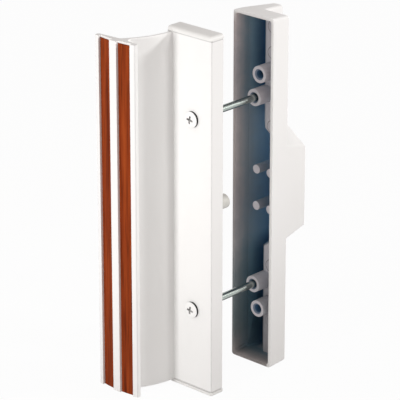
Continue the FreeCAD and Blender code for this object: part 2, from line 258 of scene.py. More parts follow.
def bearing(start, end):
    """Direction from start to end, in degrees."""
    return math.degrees(math.atan2(end[1] - start[1], end[0] - start[0]))


def rounded_corner(before, corner, after, radius, steps=5):
    """Points of the arc that rounds a corner between two straight lines."""
    corner = Vector(corner)
    to_before = (Vector(before) - corner).normalized()
    to_after = (Vector(after) - corner).normalized()
    half = to_before.angle(to_after) / 2
    centre = corner + (to_before + to_after).normalized() * (radius / math.sin(half))
    tangent = radius / math.tan(half)
    start = bearing(centre, corner + to_before * tangent)
    turn = (bearing(centre, corner + to_after * tangent) - start + 180) % 360 - 180
    return arc(centre, radius, start, start + turn, steps)


def crown(x, depth=0.0):
    """Point of the grip's crowned face at x, or of a line that runs below it by depth."""
    centre_y = GRIP_CROWN - GRIP_PROJECTION
    return (x, centre_y - math.sqrt((GRIP_CROWN - depth) ** 2 - (x - GRIP_MIDDLE) ** 2))


def crown_run(x0, x1, steps, depth=0.0):
    """Points along the crowned face from x0 to x1, or along a line that runs below it by depth."""
    return [crown(x0 + (x1 - x0) * i / steps, depth) for i in range(steps + 1)]


def seat_circle(near, along, out, offset, centre, distance):
    """Centre of a fillet that lies offset from a line through near and at a distance from centre."""
    first = Vector(near) + Vector(out) * offset - Vector(centre)
    along = Vector(along)
    lead = first.dot(along)
    step = -lead + math.sqrt(lead * lead - first.length_squared + distance * distance)
    return Vector(centre) + first + along * step


def grip_tip(side, steps=4):
    """Rounded tip of the grip, from its back to its face on the right, and its mirror image on the left."""
    x = GRIP_MIDDLE + side * GRIP_WIDTH / 2
    face = crown(x)
    back = (x, face[1] + GRIP_TIP_THICKNESS)
    middle = (GRIP_MIDDLE, -GRIP_PROJECTION + GRIP_ROOT_DEPTH)
    along_face = crown(x - side * TIP_CHORD)
    points = rounded_corner(middle, back, face, GRIP_TIP_RADIUS, steps)
    points += rounded_corner(back, face, along_face, GRIP_TIP_RADIUS, steps)
    return points if side > 0 else points[::-1]


def pull_section():
    """Outline of the extrusion, clockwise from the foot of the channel's right wall."""
    front = -CHANNEL_DEPTH
    swing = (WEB_EDGE - WEB_CURVE, front)
    near_radius = WEB_CURVE + WEB_THICKNESS
    middle = Vector((GRIP_MIDDLE, -GRIP_PROJECTION + GRIP_ROOT_DEPTH))
    tips = [Vector(crown(GRIP_MIDDLE + side * GRIP_WIDTH / 2)) + Vector((0, GRIP_TIP_THICKNESS))
            for side in (-1, 1)]
    right_run = (tips[1] - middle).normalized()
    left_run = (middle - tips[0]).normalized()
    near_foot = seat_circle(swing, (1, 0), (0, -1), WEB_FOOT_RADIUS, swing, near_radius + WEB_FOOT_RADIUS)
    far_foot = seat_circle(swing, (1, 0), (0, -1), WEB_FOOT_RADIUS, swing, WEB_CURVE - WEB_FOOT_RADIUS)
    inner = seat_circle(middle, right_run, (-right_run.y, right_run.x), GRIP_INNER_FILLET, swing,
                        near_radius + GRIP_INNER_FILLET)
    outer = seat_circle(tips[0], left_run, (-left_run.y, left_run.x), GRIP_OUTER_FILLET, swing,
                        WEB_CURVE - GRIP_OUTER_FILLET)
    inner_foot = 360 + bearing((0, 0), (right_run.y, -right_run.x))
    outer_foot = bearing((0, 0), (left_run.y, -left_run.x))
    corner = ((CHANNEL_RIGHT, 0), (CHANNEL_RIGHT, front), (CHANNEL_LEFT, front), (CHANNEL_LEFT, 0))
    points = [corner[0]]
    points += rounded_corner(corner[0], corner[1], corner[2], CHANNEL_CORNER)
    points += arc(near_foot, WEB_FOOT_RADIUS, 90, bearing(near_foot, swing), steps=5)
    points += arc(swing, near_radius, bearing(swing, near_foot), bearing(swing, inner), steps=26)[1:-1]
    points += arc(inner, GRIP_INNER_FILLET, bearing(inner, swing), inner_foot, steps=10)
    points += grip_tip(1)
    rib = GROOVE_RIB / 2
    tip_x = GRIP_WIDTH / 2 - GRIP_TIP_RADIUS * TIP_SPAN
    points += crown_run(GRIP_MIDDLE + tip_x, GRIP_MIDDLE + rib + GROOVE_WIDTH, steps=2)
    points += crown_run(GRIP_MIDDLE + rib + GROOVE_WIDTH, GRIP_MIDDLE + rib, steps=8, depth=GROOVE_DEPTH)
    points += crown_run(GRIP_MIDDLE + rib, GRIP_MIDDLE - rib, steps=3)
    points += crown_run(GRIP_MIDDLE - rib, GRIP_MIDDLE - rib - GROOVE_WIDTH, steps=8, depth=GROOVE_DEPTH)
    points += crown_run(GRIP_MIDDLE - rib - GROOVE_WIDTH, GRIP_MIDDLE - tip_x, steps=2)
    points += grip_tip(-1)
    points += arc(outer, GRIP_OUTER_FILLET, outer_foot, bearing(swing, outer), steps=6)
    points += arc(swing, WEB_CURVE, bearing(swing, outer), bearing(swing, far_foot), steps=26)[1:-1]
    points += arc(far_foot, WEB_FOOT_RADIUS, bearing(swing, far_foot), 90, steps=5)
    points += rounded_corner(corner[1], corner[2], corner[3], CHANNEL_CORNER)
    inner_left = CHANNEL_LEFT + CHANNEL_WALL
    inner_right = CHANNEL_RIGHT - CHANNEL_WALL
    back = front + PLATE_THICKNESS
    points += [corner[3], (inner_left, 0), (inner_left, back), (inner_right, back), (inner_right, 0)]
    return points


def new_tree(name, inputs):
    """Geometry Nodes tree with named inputs, its input node's sockets and the function that adds nodes."""
    tree = bpy.data.node_groups.new(name, "GeometryNodeTree")
    face = tree.interface
    face.new_socket("Geometry", in_out="INPUT", socket_type="NodeSocketGeometry")
    for label, kind in inputs:
        face.new_socket(label, in_out="INPUT", socket_type="NodeSocket" + kind)
    face.new_socket("Geometry", in_out="OUTPUT", socket_type="NodeSocketGeometry")
    add = adder(tree)
    return tree, add("NodeGroupInput").outputs, add


def run_tree(obj, tree, values):
    """Gives obj the tree with its input values, and makes the result obj's own plain mesh."""
    modifier = obj.modifiers.new(tree.name, "NODES")
    modifier.node_group = tree
    for item in tree.interface.items_tree:
        if item.in_out == "INPUT" and item.name in values:
            modifier[item.identifier] = values[item.name]
    made_plain(obj)


def made_plain(obj):
    """Makes what obj's modifiers give its own mesh, and removes them."""
    bpy.context.view_layer.update()
    depsgraph = bpy.context.evaluated_depsgraph_get()
    mesh = bpy.data.meshes.new_from_object(obj.evaluated_get(depsgraph), depsgraph=depsgraph)
    obj.modifiers.clear()
    obj.data = mesh
    mesh.name = obj.name


def shaded(obj, angle=40):
    """Shades obj's curved faces smooth and keeps the edges that turn by more than angle sharp."""
    obj.data.shade_smooth()
    obj.data.set_sharp_from_angle(angle=math.radians(angle))


def eased(obj, width, angle=40, steps=2):
    """Breaks obj's sharp edges by a small bevel and shades its curved faces smooth."""
    shaded(obj, angle)
    bevel = obj.modifiers.new("eased_edges", "BEVEL")
    bevel.width = width * MM
    bevel.segments = steps
    bevel.limit_method = "ANGLE"
    bevel.angle_limit = math.radians(angle)
    bevel.harden_normals = True
    made_plain(obj)


def new_piece(name, mesh):
    """Object with the mesh, at the origin and in the scene."""
    piece = bpy.data.objects.new(name, mesh)
    bpy.context.scene.collection.objects.link(piece)
    return piece


def extrusion_tree():
    """Fills the section, pulls it to length and bores the two screw holes through the plate."""
    tree, given, add = new_tree("pulled_section", [("Length", "Float"), ("Screw Spacing", "Float"),
                                                   ("Bore Radius", "Float"), ("Bore Place", "Vector"),
                                                   ("Bore Length", "Float"), ("Paint", "Material")])
    line = add("GeometryNodeMeshToCurve", Mesh=given["Geometry"])
    filled = add("GeometryNodeFillCurve", {"mode": "NGONS"}, Curve=line)
    up = add("ShaderNodeCombineXYZ", Z=given["Length"])
    pulled = add("GeometryNodeExtrudeMesh", Mesh=filled, Offset=up, Individual=False)
    under = add("GeometryNodeFlipFaces", Mesh=filled)
    both = add("GeometryNodeJoinGeometry")
    tree.links.new(pulled.outputs["Mesh"], both.inputs[0])
    tree.links.new(under.outputs[0], both.inputs[0])
    closed = add("GeometryNodeMergeByDistance", Geometry=both, Distance=1e-6)
    down = scaled(add, up, -0.5)
    solid = add("GeometryNodeTransform", Geometry=closed, Translation=down)
    drill = add("GeometryNodeMeshCylinder", Vertices=48, Radius=given["Bore Radius"],
                Depth=given["Bore Length"])
    turned = add("GeometryNodeTransform", Geometry=drill.outputs["Mesh"], Rotation=(math.pi / 2, 0, 0))
    apart = add("ShaderNodeCombineXYZ", Z=given["Screw Spacing"])
    first = add("ShaderNodeVectorMath", {"operation": "MULTIPLY_ADD"},
                {0: apart, 1: (0, 0, -0.5), 2: given["Bore Place"]})
    places = add("GeometryNodeMeshLine", Count=2, Start_Location=first, Offset=apart)
    drills = add("GeometryNodeInstanceOnPoints", Points=places, Instance=turned)
    drills = add("GeometryNodeRealizeInstances", Geometry=drills)
    bored = add("GeometryNodeMeshBoolean", {"operation": "DIFFERENCE", "solver": "EXACT"}, {0: solid})
    tree.links.new(drills.outputs[0], bored.inputs[1])
    real = add("GeometryNodeRealizeInstances", Geometry=bored)
    painted = add("GeometryNodeSetMaterial", Geometry=real, Material=given["Paint"])
    add("NodeGroupOutput", Geometry=painted)
    return tree


def seam_and_corner_painted_shade(add, place):
    """Below 1 for painted shade: in a fine band at the channel's ends and along two sharp corners."""
    spot = add("ShaderNodeSeparateXYZ", Vector=place)
    height = calc(add, "ABSOLUTE", spot.outputs["Z"])
    band = CHANNEL_LENGTH / 2 - SEAM_BAND
    seam = spread(add, height, (band - SEAM_FADE) * MM, band * MM)
    channel = spread(add, spot.outputs["Y"], (-CHANNEL_DEPTH - 2 * SEAM_FADE) * MM,
                     (-CHANNEL_DEPTH - SEAM_FADE) * MM)
    shade = spread(add, calc(add, "MULTIPLY", seam, channel), 0.0, 1.0, 1.0, SEAM_SHADE)
    across = add("ShaderNodeCombineXYZ", X=spot.outputs["X"], Y=spot.outputs["Y"])
    for x, y in FRONT_CORNERS:
        away = add("ShaderNodeVectorMath", {"operation": "DISTANCE"}, {0: across, 1: (x * MM, y * MM, 0.0)})
        line = spread(add, away.outputs["Value"], CORNER_CORE * CORNER_LINE * MM, CORNER_LINE * MM,
                      CORNER_SHADE)
        shade = calc(add, "MULTIPLY", shade, line)
    return shade


def white_finish(name, white, warm, roughness, peel_size, peel_depth, stretch=1.0, shading=None):
    """White coat with a warmer drift, an uneven gloss and a fine peel, drawn out along Z by stretch."""
    material, add = new_material(name)
    place = add("ShaderNodeTexCoord").outputs["Object"]
    drift = add("ShaderNodeTexNoise", Vector=place, Scale=DRIFT_SCALE, Detail=3.0, Roughness=0.5)
    gloss = spread(add, drift, 0.0, 1.0, roughness * GLOSS_SPREAD[0], roughness * GLOSS_SPREAD[1])
    drawn = add("ShaderNodeMapping", Vector=place, Scale=(1.0, 1.0, 1.0 / stretch))
    peel = add("ShaderNodeTexNoise", Vector=drawn, Scale=1.0 / (peel_size * MM), Detail=2.0, Roughness=0.45)
    bump = add("ShaderNodeBump", Height=peel, Distance=peel_depth * MM, Strength=0.5)
    colour = blend(add, drift, white, warm)
    if shading:
        colour = scaled(add, colour, shading(add, place))
    coat = add("ShaderNodeBsdfPrincipled", Base_Color=colour, Roughness=gloss, Normal=bump)
    coat.inputs["Coat Weight"].default_value = LACQUER
    coat.inputs["Coat Roughness"].default_value = LACQUER_ROUGHNESS
    add("ShaderNodeOutputMaterial", Surface=coat)
    return material


# The extrusion's paint carries painted shade at its seams and front corners.
extrusion_paint = white_finish("extrusion_paint", EXTRUSION_WHITE, EXTRUSION_WARM, roughness=PAINT_ROUGHNESS,
                               peel_size=1.1, peel_depth=0.02, stretch=4.0, shading=seam_and_corner_painted_shade)
section = bpy.data.meshes.new("inside_pull_extrusion")
outline = [(x * MM, y * MM, 0.0) for x, y in pull_section()]
section.from_pydata(outline, [(i, (i + 1) % len(outline)) for i in range(len(outline))], [])
inside_pull = new_piece("inside_pull_extrusion", section)
run_tree(inside_pull, extrusion_tree(), {
    "Length": CHANNEL_LENGTH * MM, "Screw Spacing": SCREW_SPACING * MM,
    "Bore Radius": SCREW_CLEARANCE_BORE / 2 * MM, "Bore Length": 3 * PLATE_THICKNESS * MM,
    "Bore Place": (0.0, (PLATE_THICKNESS / 2 - CHANNEL_DEPTH) * MM, 0.0), "Paint": extrusion_paint})
eased(inside_pull, CUT_EDGE)
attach(inside_pull, "root")
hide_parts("inside_pull")


# Wood strips. Two thin strips of red-brown stained wood with a satin varnish, glued to the floors of the
# grip's grooves. Their grain runs up the handle and their edges are sanded round.
STRIP_THICKNESS = 0.7
STRIP_SIDE_CLEARANCE = 0.1
STRIP_TOP_GAP = 1.0
STRIP_EDGE = 0.18
WOOD_STAIN = ((0.33, (0.140, 0.0190, 0.0035)), (0.48, (0.245, 0.0380, 0.0070)),
              (0.68, (0.315, 0.0560, 0.0105)))
FIGURE_SCALE = 520.0
FIGURE_SQUEEZE = 0.030
PORE_SCALE = 2300.0
PORE_SQUEEZE = 0.018
PORE_LEVELS = (0.36, 0.50)
PORE_SHADE = 0.62
PORE_DEPTH = 0.03
VARNISH_ROUGHNESS = (0.42, 0.56)
VARNISH_SHINE = 0.05


def prism(name, outline, z0, z1):
    """Closed solid with the same outline (counterclockwise, in mm) from z0 to z1."""
    count = len(outline)
    verts = [(x * MM, y * MM, z * MM) for z in (z0, z1) for x, y in outline]
    faces = [(i, (i + 1) % count, count + (i + 1) % count, count + i) for i in range(count)]
    faces += [tuple(range(count))[::-1], tuple(range(count, 2 * count))]
    mesh = bpy.data.meshes.new(name)
    mesh.from_pydata(verts, [], faces)
    return mesh


def ramp(add, value, stops):
    """Colour ramp through the stops, each a place and a colour."""
    node = add("ShaderNodeValToRGB", Fac=value)
    elements = node.color_ramp.elements
    elements.remove(elements[1])
    for number, (place, colour) in enumerate(stops):
        stop = elements.new(place) if number else elements[0]
        stop.position = place
        stop.color = tuple(colour) + (1.0,)
    return node.outputs[0]


def stained_wood(name):
    """Fine dark streaks and pores drawn out along Z over a red-brown stain, in a satin varnish."""
    material, add = new_material(name)
    place = add("ShaderNodeTexCoord").outputs["Object"]
    broad = add("ShaderNodeMapping", Vector=place, Scale=(1.0, 1.0, FIGURE_SQUEEZE))
    figure = add("ShaderNodeTexNoise", Vector=broad, Scale=FIGURE_SCALE, Detail=5.0, Roughness=0.62,
                 Distortion=0.25)
    stain = ramp(add, figure, WOOD_STAIN)
    fine = add("ShaderNodeMapping", Vector=place, Scale=(1.0, 1.0, PORE_SQUEEZE))
    pores = add("ShaderNodeTexNoise", Vector=fine, Scale=PORE_SCALE, Detail=2.0, Roughness=0.5)
    open_pores = spread(add, pores, *PORE_LEVELS, PORE_SHADE, kind="SMOOTHSTEP")
    shade = blend(add, 1.0, stain, open_pores, "MULTIPLY")
    gloss = spread(add, figure, 0.0, 1.0, *VARNISH_ROUGHNESS)
    bump = add("ShaderNodeBump", Height=open_pores, Distance=PORE_DEPTH * MM, Strength=0.5)
    varnish = add("ShaderNodeBsdfPrincipled", Base_Color=shade, Roughness=gloss, Normal=bump)
    varnish.inputs["Specular IOR Level"].default_value = VARNISH_SHINE
    add("ShaderNodeOutputMaterial", Surface=varnish)
    return material


red_brown_wood = stained_wood("red_brown_wood")
half_length = CHANNEL_LENGTH / 2
for side, node in ((-1, "wood_strip_left"), (1, "wood_strip_right")):
    x0, x1 = sorted(GRIP_MIDDLE + side * (GROOVE_RIB / 2 + reach) for reach in (0.0, GROOVE_WIDTH))
    x0 += STRIP_SIDE_CLEARANCE
    x1 -= STRIP_SIDE_CLEARANCE
    face = crown_run(x0, x1, steps=10, depth=GROOVE_DEPTH - STRIP_THICKNESS)
    underside = crown_run(x1, x0, steps=10, depth=GROOVE_DEPTH)
    solid = prism(node, face + underside, -half_length, half_length - STRIP_TOP_GAP)
    strip = new_piece(node + "_piece", solid)
    strip.data.materials.append(red_brown_wood)
    eased(strip, STRIP_EDGE, steps=3)
    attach(strip, "root")
    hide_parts(node)


# End caps. Moulded white plastic, one on each end of the channel, held by two legs that press against
# its walls. The outer rim is rounded, and a fine dark groove runs round the mating edge.
CAP_HEIGHT = 2.4
CAP_OVERHANG = 0.4
CAP_CORNER = 1.9
CAP_EDGE_RADIUS = 1.7
CAP_LEAST_CORNER = 0.25
CAP_EDGE = 0.10
CAP_SEAM = 0.18
CAP_SEAM_STEP = 0.02
CAP_SEAM_DEPTH = 0.6
CAP_LEG_LENGTH = 10.0
CAP_LEG_THICKNESS = 1.8
CAP_LEG_TAPER = 0.6
CAP_FIT = 0.1
CAP_WHITE = (0.82, 0.82, 0.805, 1.0)
CAP_WARM = (0.79, 0.785, 0.765, 1.0)


def cap_ring(inset):
    """Outline of the cap, drawn in by inset on its three free sides."""
    left = CHANNEL_LEFT - CAP_OVERHANG + inset
    right = CHANNEL_RIGHT + CAP_OVERHANG - inset
    front = -CHANNEL_DEPTH - CAP_OVERHANG + inset
    radius = max(CAP_CORNER - inset, CAP_LEAST_CORNER)
    points = [(right, 0.0)]
    points += rounded_corner((right, 0), (right, front), (left, front), radius, steps=6)
    points += rounded_corner((right, front), (left, front), (left, 0), radius, steps=6)
    return points + [(left, 0.0)]


def cap_levels():
    """Height above the channel's end and inset of each ring, from the seam to the outer face."""
    levels = [(0.0, CAP_SEAM_DEPTH), (CAP_SEAM, CAP_SEAM_DEPTH), (CAP_SEAM + CAP_SEAM_STEP, 0.0)]
    steps = 8
    for i in range(steps + 1):
        angle = math.pi / 2 * i / steps
        rise = CAP_HEIGHT - CAP_EDGE_RADIUS + CAP_EDGE_RADIUS * math.sin(angle)
        levels.append((rise, CAP_EDGE_RADIUS * (1 - math.cos(angle))))
    return levels


def cap_mesh(name, side):
    """Cap with its two legs, for the upper end where side is 1 and mirrored for the lower where it is -1."""
    verts = []
    faces = []
    for rise, inset in cap_levels():
        verts += [(x, y, half_length + rise) for x, y in cap_ring(inset)]
    count = len(cap_ring(0.0))
    for level in range(len(cap_levels()) - 1):
        for i in range(count):
            low, high = level * count, (level + 1) * count
            faces.append((low + i, high + i, high + (i + 1) % count, low + (i + 1) % count))
    faces.append(tuple(range(count)))
    faces.append(tuple(range(len(verts) - count, len(verts)))[::-1])
    top = half_length + CAP_SEAM
    walls = ((CHANNEL_LEFT + CHANNEL_WALL + CAP_FIT, 1), (CHANNEL_RIGHT - CHANNEL_WALL - CAP_FIT, -1))
    for wall, inward in walls:
        inner = wall + inward * CAP_LEG_THICKNESS
        tip = half_length - CAP_LEG_LENGTH
        leg = [(wall, top), (inner, top), (inner, tip), (wall + inward * CAP_LEG_TAPER, tip),
               (wall, tip + 2 * CAP_LEG_TAPER)]
        start = len(verts)
        middle = start + len(leg)
        end = middle + len(leg)
        for y in (-CHANNEL_DEPTH + PLATE_THICKNESS + CAP_FIT, -CAP_FIT):
            verts += [(x, y, z) for x, z in leg]
        for i in range(len(leg)):
            follower = (i + 1) % len(leg)
            faces.append((start + i, start + follower, middle + follower, middle + i))
        faces += [tuple(range(start, middle))[::-1], tuple(range(middle, end))]
    mesh = bpy.data.meshes.new(name)
    mesh.from_pydata([(x * MM, y * MM, side * z * MM) for x, y, z in verts], [], faces)
    shape = bmesh.new()
    shape.from_mesh(mesh)
    bmesh.ops.recalc_face_normals(shape, faces=shape.faces)
    shape.to_mesh(mesh)
    shape.free()
    return mesh


cap_plastic = white_finish("cap_plastic", CAP_WHITE, CAP_WARM, roughness=0.44, peel_size=0.6,
                           peel_depth=0.008)
for side, node in ((1, "top_end_cap"), (-1, "bottom_end_cap")):
    cap = new_piece(node + "_piece", cap_mesh(node, side))
    cap.data.materials.append(cap_plastic)
    eased(cap, CAP_EDGE, angle=50)
    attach(cap, "root")
    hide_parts(node)


# Locating stud. Turned aluminium, left bare, with fine tool rings. It is welded by its broad foot to the
# back of the plate and reaches into a hole in the door.
STUD_DIAMETER = 7.4
STUD_OFFSET = -2.6
STUD_REACH = 18.4
STUD_FOOT_DIAMETER = 10.0
STUD_FOOT_HEIGHT = 1.2
STUD_FOOT_ROUND = ((0.7, 0.0), (0.93, 0.3), (1.0, 0.9))
STUD_CHAMFER = 0.5
STUD_CENTRE_RADIUS = 0.9
STUD_CENTRE_DEPTH = 0.25
STUD_EDGE = 0.08
STUD_COLOUR = (0.80, 0.79, 0.755, 1.0)
RING_SQUEEZE = 0.02
CLOUD_SCALE = 260.0
METAL_SPREAD = (0.8, 1.25)


def turned_mesh(name, profile, x, z, segments):
    """Closed solid of revolution about a line along Y, from (y, radius) pairs whose ends lie on that line."""
    verts = []
    rings = []
    for y, radius in profile:
        if radius == 0.0:
            rings.append([len(verts)])
            verts.append((x * MM, y * MM, z * MM))
            continue
        rings.append(list(range(len(verts), len(verts) + segments)))
        for i in range(segments):
            angle = 2 * math.pi * i / segments
            verts.append(((x + radius * math.cos(angle)) * MM, y * MM, (z + radius * math.sin(angle)) * MM))
    faces = []
    for low, high in zip(rings, rings[1:]):
        for i in range(segments):
            follower = (i + 1) % segments
            if len(low) == 1:
                faces.append((low[0], high[i], high[follower]))
            elif len(high) == 1:
                faces.append((low[i], high[0], low[follower]))
            else:
                faces.append((low[i], high[i], high[follower], low[follower]))
    mesh = bpy.data.meshes.new(name)
    mesh.from_pydata(verts, [], faces)
    return mesh


def bare_metal(name, colour, roughness, ring_pitch, ring_depth, cloudy):
    """Bare metal with fine tool rings along Y, a cloudy tone and a roughness that wanders."""
    material, add = new_material(name)
    place = add("ShaderNodeTexCoord").outputs["Object"]
    squeezed = add("ShaderNodeMapping", Vector=place, Scale=(RING_SQUEEZE, 1.0, RING_SQUEEZE))
    rings = add("ShaderNodeTexNoise", Vector=squeezed, Scale=1.0 / (ring_pitch * MM), Detail=1.0)
    cloud = add("ShaderNodeTexNoise", Vector=place, Scale=CLOUD_SCALE, Detail=3.0, Roughness=0.6)
    darker = tuple((1 - cloudy) * c for c in colour[:3]) + (1.0,)
    tone = blend(add, cloud, colour, darker)
    gloss = spread(add, cloud, 0.0, 1.0, roughness * METAL_SPREAD[0], roughness * METAL_SPREAD[1])
    bump = add("ShaderNodeBump", Height=rings, Distance=ring_depth * MM, Strength=0.6)
    metal = add("ShaderNodeBsdfPrincipled", Base_Color=tone, Metallic=1.0, Roughness=gloss, Normal=bump)
    add("ShaderNodeOutputMaterial", Surface=metal)
    return material


foot = -CHANNEL_DEPTH + PLATE_THICKNESS
radius = STUD_DIAMETER / 2
foot_radius = STUD_FOOT_DIAMETER / 2
stud_profile = [(foot, 0.0), (foot, foot_radius)]
stud_profile += [(foot + STUD_FOOT_HEIGHT * share, foot_radius - drawn) for share, drawn in STUD_FOOT_ROUND]
stud_profile += [(foot + STUD_FOOT_HEIGHT, radius), (STUD_REACH - STUD_CHAMFER, radius),
                 (STUD_REACH, radius - STUD_CHAMFER), (STUD_REACH, STUD_CENTRE_RADIUS),
                 (STUD_REACH - STUD_CENTRE_DEPTH, 0.0)]
stud_mesh = turned_mesh("locating_stud", stud_profile, STUD_OFFSET, 0.0, segments=64)
stud = new_piece("locating_stud_piece", stud_mesh)
stud.data.materials.append(bare_metal("stud_aluminium", STUD_COLOUR, roughness=0.85, ring_pitch=0.12,
                                      ring_depth=0.006, cloudy=0.15))
eased(stud, STUD_EDGE, angle=35)
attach(stud, "root")
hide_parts("locating_stud")


# Mounting screws. Two long zinc plated steel screws, driven from the room into the casting's bosses. Only
# the head's face is painted white; its rim is bare dark steel with painted shadow, and the cross recess
# is a grey of painted shade.
HEAD_DIAMETER = 8.2
HEAD_HEIGHT = 2.0
HEAD_RIM = 1.3
HEAD_EDGE = 0.12
HEAD_UNDER_EDGE = 0.08
RECESS_WIDTH = 4.1
RECESS_SLOT = 1.1
RECESS_DEPTH = 1.5
RECESS_TAPER = 0.75
RECESS_TURN = 9.0
RECESS_REACH = 0.62
RECESS_PAINTED = 0.32
RECESS_LIMIT = 1.8
SHANK_DIAMETER = 3.65
THREAD_DIAMETER = 4.16
THREAD_ROOT = 3.3
THREAD_LENGTH = 6.0
THREAD_PITCH = 0.794
THREAD_RUNOUT = 1.0
THREAD_RIDGE = 0.26
SHANK_SHOULDER = 0.3
SCREW_LENGTH = 50.8
TIP_CHAMFER = 0.6
ZINC = (0.48, 0.535, 0.50, 1.0)
HEAD_WHITE = (0.89, 0.89, 0.885, 1.0)
HEAD_WARM = (0.85, 0.845, 0.83, 1.0)
# Painted shadow: the rim's near black is dark steel and shadow; the recess's grey is painted shade.
DARK_STEEL_AND_SHADOW = (0.014, 0.015, 0.016, 1.0)
RECESS_SHADE_GREY = (0.27, 0.27, 0.265, 1.0)
BLOTCH_SCALE = 900.0
BLOTCH_LIGHTER = 1.5
BLOTCH_DEPTH = 0.01
DULL_SPREAD = (0.85, 1.2)
DULL_SHINE = 0.2
FAR_BELOW = -1.0
RIM_MARGIN = 0.001


def screw_profile():
    """Half outline of the screw, from the crest of its domed head to its point."""
    radius = HEAD_DIAMETER / 2
    rise = HEAD_HEIGHT - HEAD_RIM
    dome = (radius ** 2 + rise ** 2) / (2 * rise)
    under = -CHANNEL_DEPTH
    crest = under - HEAD_HEIGHT
    profile = [(crest, 0.0)]
    steps = 10
    for i in range(1, steps + 1):
        r = (radius - HEAD_EDGE) * i / steps
        profile.append((crest + dome - math.sqrt(dome ** 2 - r ** 2), r))
    tip = under + SCREW_LENGTH
    thread_start = tip - THREAD_LENGTH
    root = THREAD_ROOT / 2
    profile += [(crest + rise + HEAD_EDGE, radius), (under - HEAD_UNDER_EDGE, radius),
                (under, radius - HEAD_UNDER_EDGE), (under, SHANK_DIAMETER / 2),
                (thread_start - SHANK_SHOULDER, SHANK_DIAMETER / 2), (thread_start, root),
                (tip - TIP_CHAMFER, root), (tip, root - TIP_CHAMFER), (tip, 0.0)]
    return profile


def between(add, value, low, high):
    """True where value lies between low and high."""
    over = add("FunctionNodeCompare", {"data_type": "FLOAT", "operation": "GREATER_THAN"}, {0: value, 1: low})
    below = add("FunctionNodeCompare", {"data_type": "FLOAT", "operation": "LESS_THAN"}, {0: value, 1: high})
    both = add("FunctionNodeBooleanMath", {"operation": "AND"}, {0: over, 1: below})
    return both.outputs[0]


def screws_tree():
    """Cuts the cross recess, winds the thread, gives each part its finish and sets the pair in place."""
    tree, given, add = new_tree("mounting_screw_pair", [
        ("Spacing", "Float"), ("Crest", "Float"), ("Recess Width", "Float"), ("Recess Slot", "Float"),
        ("Recess Depth", "Float"), ("Recess Taper", "Float"), ("Recess Turn", "Vector"),
        ("Thread Start", "Float"), ("Thread Turns", "Float"), ("Thread Length", "Float"),
        ("Thread Radius", "Float"), ("Face Paint", "Material"), ("Zinc", "Material"),
        ("Rim Steel And Shadow", "Material"), ("Recess", "Material")])
    deep = calc(add, "MULTIPLY", given["Recess Depth"], 2.0)
    bars = add("GeometryNodeJoinGeometry")
    for long, short in (("Recess Width", "Recess Slot"), ("Recess Slot", "Recess Width")):
        size = add("ShaderNodeCombineXYZ", X=given[long], Y=deep, Z=given[short])
        bar = add("GeometryNodeMeshCube", Size=size)
        tree.links.new(bar.outputs["Mesh"], bars.inputs[0])
    place = add("GeometryNodeInputPosition")
    parts = add("ShaderNodeSeparateXYZ", Vector=place)
    narrowing = add("ShaderNodeMapRange", {"clamp": False}, Value=parts.outputs["Y"], From_Min=0.0,
                    From_Max=given["Recess Depth"], To_Min=1.0, To_Max=given["Recess Taper"])
    x = calc(add, "MULTIPLY", parts.outputs["X"], narrowing)
    z = calc(add, "MULTIPLY", parts.outputs["Z"], narrowing)
    y = calc(add, "ADD", parts.outputs["Y"], given["Crest"])
    tapered = add("ShaderNodeCombineXYZ", X=x, Y=y, Z=z)
    cutter = add("GeometryNodeSetPosition", Geometry=bars, Position=tapered)
    cutter = add("GeometryNodeTransform", Geometry=cutter, Rotation=given["Recess Turn"])
    cut = add("GeometryNodeMeshBoolean", {"operation": "DIFFERENCE", "solver": "EXACT"},
              {0: given["Geometry"]})
    tree.links.new(cutter.outputs[0], cut.inputs[1])
    cut.inputs["Self Intersection"].default_value = True
    spiral = add("GeometryNodeCurveSpiral", Resolution=26, Rotations=given["Thread Turns"],
                 Start_Radius=given["Thread Radius"], End_Radius=given["Thread Radius"],
                 Height=given["Thread Length"])
    laid = add("GeometryNodeTransform", Geometry=spiral, Rotation=(-math.pi / 2, 0, 0))
    along = add("ShaderNodeCombineXYZ", Y=given["Thread Start"])
    laid = add("GeometryNodeTransform", Geometry=laid, Translation=along)
    ridge = add("GeometryNodeCurvePrimitiveCircle", Resolution=4, Radius=THREAD_RIDGE * MM)
    thread = add("GeometryNodeCurveToMesh", Curve=laid, Profile_Curve=ridge, Fill_Caps=True)
    whole = add("GeometryNodeJoinGeometry")
    tree.links.new(cut.outputs[0], whole.inputs[0])
    tree.links.new(thread.outputs[0], whole.inputs[0])
    spot = add("ShaderNodeSeparateXYZ", Vector=add("GeometryNodeInputPosition"))
    flat = add("ShaderNodeCombineXYZ", X=spot.outputs["X"], Z=spot.outputs["Z"])
    radius = add("ShaderNodeVectorMath", {"operation": "LENGTH"}, {0: flat}).outputs["Value"]
    depth = calc(add, "SUBTRACT", spot.outputs["Y"], given["Crest"])
    face_depth = (HEAD_HEIGHT - HEAD_RIM + HEAD_EDGE) * MM
    head = between(add, depth, FAR_BELOW, face_depth)
    rim = between(add, depth, face_depth, (HEAD_HEIGHT + RIM_MARGIN) * MM)
    near = between(add, radius, FAR_BELOW, RECESS_WIDTH * RECESS_REACH * MM)
    sunk = between(add, depth, RECESS_PAINTED * MM, RECESS_LIMIT * MM)
    inside = add("FunctionNodeBooleanMath", {"operation": "AND"}, {0: near, 1: sunk})
    body = whole
    for chosen, finish in ((True, "Zinc"), (head, "Face Paint"), (rim, "Rim Steel And Shadow"), (inside, "Recess")):
        body = add("GeometryNodeSetMaterial", Geometry=body, Selection=chosen, Material=given[finish])
    apart = add("ShaderNodeCombineXYZ", Z=given["Spacing"])
    first = scaled(add, apart, -0.5)
    pair = add("GeometryNodeMeshLine", Count=2, Start_Location=first, Offset=apart)
    set_in = add("GeometryNodeInstanceOnPoints", Points=pair, Instance=body)
    real = add("GeometryNodeRealizeInstances", Geometry=set_in)
    add("NodeGroupOutput", Geometry=real)
    return tree


